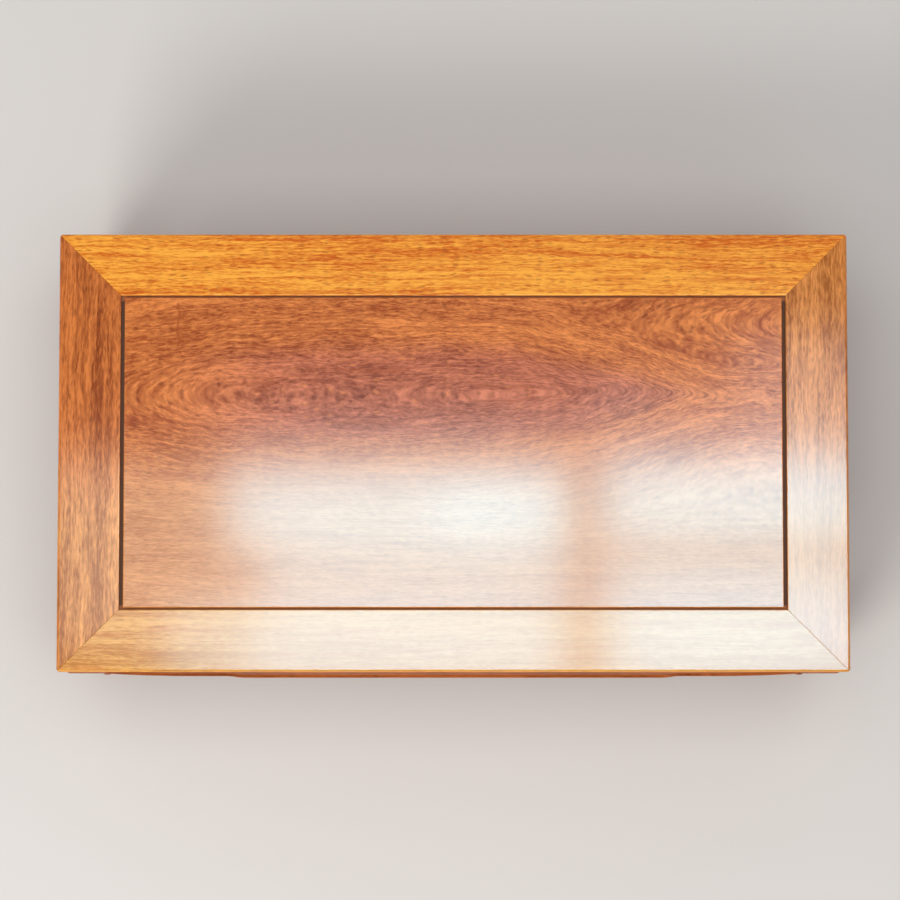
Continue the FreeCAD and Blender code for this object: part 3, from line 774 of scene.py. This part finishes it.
def finished_wood(
    name, light, dark, turn, finish, layers, wear=None, figured=False, fading=None, inner=None
):
    """A wood with its grain along X before the turn, its colours mixed by layers of streaks."""
    grain = bpy.context.scene.stand_grain
    material = bpy.data.materials.new(name)
    material.use_nodes = True
    tree = material.node_tree
    spot = place(tree, "ShaderNodeTexCoord").outputs["Object"]
    x, y, z = split(tree, spot)
    bent = vivid = 1.0
    # The paler, calmer front is partly a real fade of the wood and partly painted sheen
    if fading is not None:
        front = ranged(tree, y, *fading.reach)
        bent = maths(tree, "MULTIPLY_ADD", front, -fading.straight, 1.0)
        strong = streak_strength(tree, x, y, fading.calm)
        faded = fade_and_sheen_share(tree, x, z, front, fading.right)
        vivid = maths(tree, "MULTIPLY", strong, maths(tree, "MULTIPLY_ADD", faded, -FADE_AND_SHEEN_CALM, 1.0))
    course = grain_course(tree, spot, turn, grain.swirl * (1.0 if figured else PLAIN_SWIRL), bent)
    if figured:
        course, rings = panel_figure(tree, course, grain)

    tone = streak_tone(tree, course, layers, y, inner)
    if fading is not None:
        tone = maths(tree, "MULTIPLY_ADD", maths(tree, "SUBTRACT", tone, 0.5), strong, 0.5)
    shade = tint(tree, tone, opaque(dark), opaque(light))
    if figured:
        shade = heartwood(tree, x, rings, tone, shade)
    # Paler front colours over the shade: partly a real fade, partly painted sheen
    if fading is not None:
        shade = tint(tree, faded, shade, tint(tree, tone, opaque(fading.dark), opaque(fading.light)))
    shade, pores, shown = fine_grain(tree, course, shade, light, dark, vivid)
    if wear is not None:
        shade = rubbed_edges_and_lip_highlight(tree, spot, shade, light, wear)
    marks = use_group(
        tree, shared_groups()["Small Marks"], vector=spot, gap=grain.mark_gap, size=grain.mark_size
    )
    shade = tint(tree, maths(tree, "MULTIPLY", marks, MARK_STRENGTH), shade, opaque(light))

    dull = maths(tree, "MULTIPLY_ADD", tone, -STREAK_DULLING, STREAK_DULLING)
    dull = maths(tree, "MULTIPLY_ADD", shown, PORE_DULLING, dull)
    gloss = maths(tree, "MULTIPLY_ADD", dull, -finish.coat, finish.coat)
    if figured:
        crossing = maths(tree, "MULTIPLY", cross_line(tree, spot), CROSS_LINE_STRENGTH)
        shade = tint(tree, crossing, shade, opaque(dark))
        shade, gloss = panel_groove(tree, y, z, shade, gloss)
    height = maths(tree, "MULTIPLY_ADD", pores, -PORE_DEPTH, maths(tree, "MULTIPLY", tone, STREAK_HEIGHT))
    surface(tree, course, finish, shade, gloss, maths(tree, "SUBTRACT", height, marks))
    return material


def polished():
    """The finish of the top."""
    polish = bpy.context.scene.stand_polish
    return Finish(polish.roughness, polish.coat, polish.coat_roughness, polish.top_gloss)


def waxed():
    """The duller finish of waist, aprons and legs."""
    polish = bpy.context.scene.stand_polish
    return Finish(polish.roughness, polish.base_coat, polish.coat_roughness, 0.0)


def painted_lip_highlight():
    """A painted highlight on the aprons' lips and the legs' knees, the outermost parts of the base, where
    they catch the light.
    """
    paleness = bpy.context.scene.stand_polish.painted_lip_highlight
    return Wear(CAD_BOX[1][0], CAD_BOX[1][1], LIP_REACH, 0.0, paleness)


# Pieces
def eased_piece(node, material):
    """A copy of a CAD node with its sharp edges eased, which stands for the node."""
    ease = bpy.context.scene.stand_grain.arris
    shape = bmesh.new()
    shape.from_mesh(frame["nodes"][node].data)
    bmesh.ops.remove_doubles(shape, verts=shape.verts, dist=MERGE_DISTANCE)
    bmesh.ops.dissolve_limit(shape, angle_limit=FLAT_ANGLE, verts=shape.verts, edges=shape.edges)
    sharp = [edge for edge in shape.edges if edge.is_manifold and edge.calc_face_angle() > SHARP_ANGLE]
    bmesh.ops.bevel(
        shape, geom=sharp, offset=ease, affect="EDGES", segments=2, profile=0.5, material=-1,
        clamp_overlap=False,
    )
    bmesh.ops.recalc_face_normals(shape, faces=shape.faces)
    mesh = bpy.data.meshes.new(node + "_finished")
    shape.to_mesh(mesh)
    shape.free()
    mesh.shade_smooth()
    mesh.set_sharp_from_angle(angle=BREAK_ANGLE)
    mesh.materials.clear()
    mesh.materials.append(material)
    piece = bpy.data.objects.new(node + "_finished", mesh)
    bpy.context.scene.collection.objects.link(piece)
    flat = piece.modifiers.new("flat_faces", "WEIGHTED_NORMAL")
    flat.keep_sharp = True
    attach(piece, "root")
    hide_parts(node)


class STAND_OT_panel(Operator):
    """Finishes the floating panel in figured wood"""

    bl_idname = "stand.panel"
    bl_label = "Panel"

    def execute(self, context):
        timber = context.scene.stand_timber
        paleness = context.scene.stand_polish.wear
        half_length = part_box("top_stile_right")[0].x - END_GAP
        half_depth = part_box("top_rail_back")[0].y - SIDE_GAP
        wood = finished_wood(
            "panel_wood", timber.panel_light, timber.panel_dark, ALONG_X, polished(), PANEL_LAYERS,
            wear=Wear(half_length, half_depth, PANEL_WEAR_REACH, TOP_LEVEL - WEAR_DROP, paleness),
            figured=True,
            # The panel's paler, calmer front is partly a real fade and partly painted sheen
            fading=FadeAndSheen(
                timber.panel_fade_and_sheen_light, timber.panel_fade_and_sheen_dark, PANEL_FADE_AND_SHEEN,
                right=0.0, calm=PANEL_CALM, straight=STRAIGHT_FRONT,
            ),
        )
        eased_piece("top_panel", wood)
        return {"FINISHED"}


class STAND_OT_frame(Operator):
    """Finishes the mitred frame: golden long members and browner short ones"""

    bl_idname = "stand.frame"
    bl_label = "Frame"

    def execute(self, context):
        timber = context.scene.stand_timber
        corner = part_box("top_rail_back")[1].x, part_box("top_rail_back")[1].y
        paleness = context.scene.stand_polish.wear
        wear = Wear(*corner, FRAME_WEAR_REACH, TOP_LEVEL - WEAR_DROP, paleness)
        rail = finished_wood(
            "rail_wood", timber.rail_light, timber.rail_dark, ALONG_X, polished(), RAIL_LAYERS,
            wear=wear,
            # The front member's paler, calmer top is partly a real fade and partly painted sheen
            fading=FadeAndSheen(
                timber.rail_fade_and_sheen_light, timber.rail_fade_and_sheen_dark, FRAME_FADE_AND_SHEEN,
                right=0.0, calm=RAIL_CALM, straight=STRAIGHT_FRONT,
            ),
            inner=(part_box("top_rail_back")[0].y, corner[1]),
        )
        stile = finished_wood(
            "stile_wood", timber.stile_light, timber.stile_dark, ALONG_Y, polished(), STILE_LAYERS,
            wear=wear,
            # The short members' paler fronts and the right one's paler face are partly a real fade, partly
            # painted sheen
            fading=FadeAndSheen(
                timber.stile_fade_and_sheen_light, timber.stile_fade_and_sheen_dark, FRAME_FADE_AND_SHEEN,
                right=FADE_AND_SHEEN_RIGHT_SHARE, calm=STILE_CALM, straight=0.0,
            ),
        )
        for side in LONG_SIDES:
            eased_piece("top_rail_" + side, rail)
        for side in SHORT_SIDES:
            eased_piece("top_stile_" + side, stile)
        return {"FINISHED"}


class STAND_OT_aprons(Operator):
    """Finishes the waist and the bellied aprons, grain along each side"""

    bl_idname = "stand.aprons"
    bl_label = "Waist and aprons"

    def execute(self, context):
        timber = context.scene.stand_timber
        pairs = ((LONG_SIDES, ALONG_X, "apron_long_wood"), (SHORT_SIDES, ALONG_Y, "apron_short_wood"))
        for sides, turn, name in pairs:
            # The pale lips are a painted highlight
            wood = finished_wood(
                name, timber.base_light, timber.base_dark, turn, waxed(), BASE_LAYERS, wear=painted_lip_highlight()
            )
            for side in sides:
                eased_piece("waist_" + side, wood)
                eased_piece("apron_" + side, wood)
        return {"FINISHED"}


class STAND_OT_legs(Operator):
    """Finishes the four legs, grain upright"""

    bl_idname = "stand.legs"
    bl_label = "Legs"

    def execute(self, context):
        timber = context.scene.stand_timber
        # The pale knees are a painted highlight
        wood = finished_wood(
            "leg_wood", timber.base_light, timber.base_dark, ALONG_Z, waxed(), BASE_LAYERS, wear=painted_lip_highlight()
        )
        for corner in CORNERS:
            eased_piece("leg_" + corner, wood)
        return {"FINISHED"}


class STAND_OT_battens(Operator):
    """Finishes the planed battens under the panel"""

    bl_idname = "stand.battens"
    bl_label = "Battens"

    def execute(self, context):
        timber = context.scene.stand_timber
        polish = context.scene.stand_polish
        bare = Finish(polish.bare_roughness, 0.0, polish.coat_roughness, polish.bare_gloss)
        wood = finished_wood(
            "batten_wood", timber.inner_light, timber.inner_dark, ALONG_Y, bare, BASE_LAYERS
        )
        for node in sorted(name for name in frame["nodes"] if name.startswith("batten_")):
            eased_piece(node, wood)
        return {"FINISHED"}


def floor_material(studio):
    """A matt studio floor with a faint unevenness."""
    material = bpy.data.materials.new("studio_floor")
    material.use_nodes = True
    tree = material.node_tree
    shader = tree.nodes["Principled BSDF"]
    spot = place(tree, "ShaderNodeTexCoord").outputs["Object"]
    mottle = noise(tree, vector_maths(tree, "MULTIPLY", spot, FLOOR_MOTTLE), 3.0)[0]
    shaded = tuple(channel * FLOOR_SHADE for channel in studio.floor)
    fill(tree, shader.inputs["Base Color"], tint(tree, mottle, opaque(shaded), opaque(studio.floor)))
    shader.inputs["Roughness"].default_value = FLOOR_ROUGHNESS
    shader.inputs["Specular IOR Level"].default_value = FLOOR_GLOSS
    return material


def lamp(name, place_at, target, size, power, hue):
    """A rectangular soft lamp that faces a point."""
    data = bpy.data.lights.new(name, "AREA")
    data.shape = "RECTANGLE"
    data.size, data.size_y = size
    data.energy = power
    data.color = hue
    lamp_object = bpy.data.objects.new(name, data)
    lamp_object.location = place_at
    lamp_object.rotation_euler = (Vector(target) - Vector(place_at)).to_track_quat("-Z", "Y").to_euler()
    bpy.context.scene.collection.objects.link(lamp_object)
    return lamp_object


def daylight_world(studio):
    """Light from all sides under a darker ceiling, with a pale far background for the camera."""
    world = bpy.data.worlds.new("studio_daylight")
    world.use_nodes = True
    tree = world.node_tree
    tree.nodes.clear()
    path = place(tree, "ShaderNodeLightPath").outputs
    way = place(tree, "ShaderNodeTexCoord").outputs["Generated"]
    sky = ranged(tree, split(tree, way)[2], *CEILING_EDGE, studio.daylight, studio.ceiling)
    gain = maths(tree, "MULTIPLY", path["Is Camera Ray"], maths(tree, "SUBTRACT", studio.backdrop, sky))
    seen = maths(tree, "ADD", sky, gain)
    glow = {"Color": opaque(studio.daylight_tint), "Strength": seen}
    light = place(tree, "ShaderNodeBackground", glow)
    place(tree, "ShaderNodeOutputWorld", {"Surface": light.outputs[0]})
    bpy.context.scene.world = world


def mirrored(studio, pixel, rise):
    """Where a level lamp that far over the camera is seen in the top at a pixel of the photograph."""
    focal = studio.lens / SENSOR_WIDTH * IMAGE_SIZE
    across = (pixel[0] - IMAGE_SIZE / 2) / focal
    up = (IMAGE_SIZE / 2 - pixel[1]) / focal
    drop = math.cos(studio.tilt) - up * math.sin(studio.tilt)
    ahead = math.sin(studio.tilt) + up * math.cos(studio.tilt)
    reach = 2 * (studio.camera_height - TOP_LEVEL) + rise
    return Vector((studio.camera_x + across / drop * reach, studio.camera_y + ahead / drop * reach))


def window(studio, name, upper_left, lower_right, radiance, rise, hue):
    """An overhead lamp whose reflection in the top fills a rectangle of the photograph."""
    first = mirrored(studio, upper_left, rise)
    last = mirrored(studio, lower_right, rise)
    wide, deep = last.x - first.x, first.y - last.y
    middle = (first + last) / 2
    height = studio.camera_height + rise
    power = radiance * math.pi * wide * deep
    pane = lamp(name, (*middle, height), (*middle, 0.0), (wide, deep), power, hue)
    pane.visible_diffuse = False


class STAND_OT_studio(Operator):
    """Sets the floor, the lamps and the camera over the stand"""

    bl_idname = "stand.studio"
    bl_label = "Studio"

    def execute(self, context):
        studio = context.scene.stand_studio
        ground = bmesh.new()
        bmesh.ops.create_grid(ground, x_segments=2, y_segments=2, size=FLOOR_REACH)
        mesh = bpy.data.meshes.new("studio_floor")
        ground.to_mesh(mesh)
        ground.free()
        mesh.materials.append(floor_material(studio))
        floor = bpy.data.objects.new("studio_floor", mesh)
        context.scene.collection.objects.link(floor)
        daylight_world(studio)
        panes = [(*pane, studio.window_tint) for pane in WINDOWS]
        panes += [(*pane, studio.front_tint) for pane in FRONT_WINDOWS]
        panes += [(*pane, studio.glow_tint) for pane in GLOWS]
        for step, (name, (left, right), (upper, lower), radiance, hue) in enumerate(panes, 1):
            rise = step * LAMP_RISE
            window(studio, name, (left, upper), (right, lower), radiance * studio.windows, rise, hue)
        lamp("key", KEY_PLACE, KEY_TARGET, KEY_SIZE, studio.key_power, studio.key_tint)
        overhead = (0.0, 0.0, studio.camera_height + SOFT_RISE)
        soft = lamp("soft", overhead, (0.0, 0.0, 0.0), SOFT_SIZE, studio.soft_power, studio.key_tint)
        soft.visible_glossy = False
        data = bpy.data.cameras.new("camera")
        data.lens = studio.lens
        data.sensor_width = SENSOR_WIDTH
        camera = bpy.data.objects.new("camera", data)
        camera.location = (studio.camera_x, studio.camera_y, studio.camera_height)
        camera.rotation_euler = (studio.tilt, 0.0, 0.0)
        context.scene.collection.objects.link(camera)
        context.scene.camera = camera
        context.scene.view_settings.view_transform = "Standard"
        return {"FINISHED"}


OPERATORS = (
    STAND_OT_panel,
    STAND_OT_frame,
    STAND_OT_aprons,
    STAND_OT_legs,
    STAND_OT_battens,
    STAND_OT_studio,
)


class STAND_PT_sidebar(Panel):
    """Lists the steps and values of the flower stand"""

    bl_idname = "STAND_PT_sidebar"
    bl_label = "Flower Stand"
    bl_space_type = "VIEW_3D"
    bl_region_type = "UI"
    bl_category = "Flower Stand"

    def draw(self, context):
        for step in OPERATORS:
            self.layout.operator(step.bl_idname)
        for name in PROPERTIES:
            values = getattr(context.scene, name)
            for field in values.bl_rna.properties.keys():
                if field not in ("name", "rna_type"):
                    self.layout.prop(values, field)


PROPERTIES = {
    "stand_timber": StandTimber,
    "stand_grain": StandGrain,
    "stand_polish": StandPolish,
    "stand_studio": StandStudio,
}
CLASSES = (*PROPERTIES.values(), *OPERATORS, STAND_PT_sidebar)


def register():
    for each in CLASSES:
        bpy.utils.register_class(each)
    for name, kind in PROPERTIES.items():
        setattr(bpy.types.Scene, name, PointerProperty(type=kind))


def unregister():
    for name in PROPERTIES:
        delattr(bpy.types.Scene, name)
    for each in reversed(CLASSES):
        bpy.utils.unregister_class(each)


def main():
    register()
    bpy.ops.stand.panel()
    bpy.ops.stand.frame()
    bpy.ops.stand.aprons()
    bpy.ops.stand.legs()
    bpy.ops.stand.battens()
    bpy.ops.stand.studio()


if __name__ == "__main__":
    main()
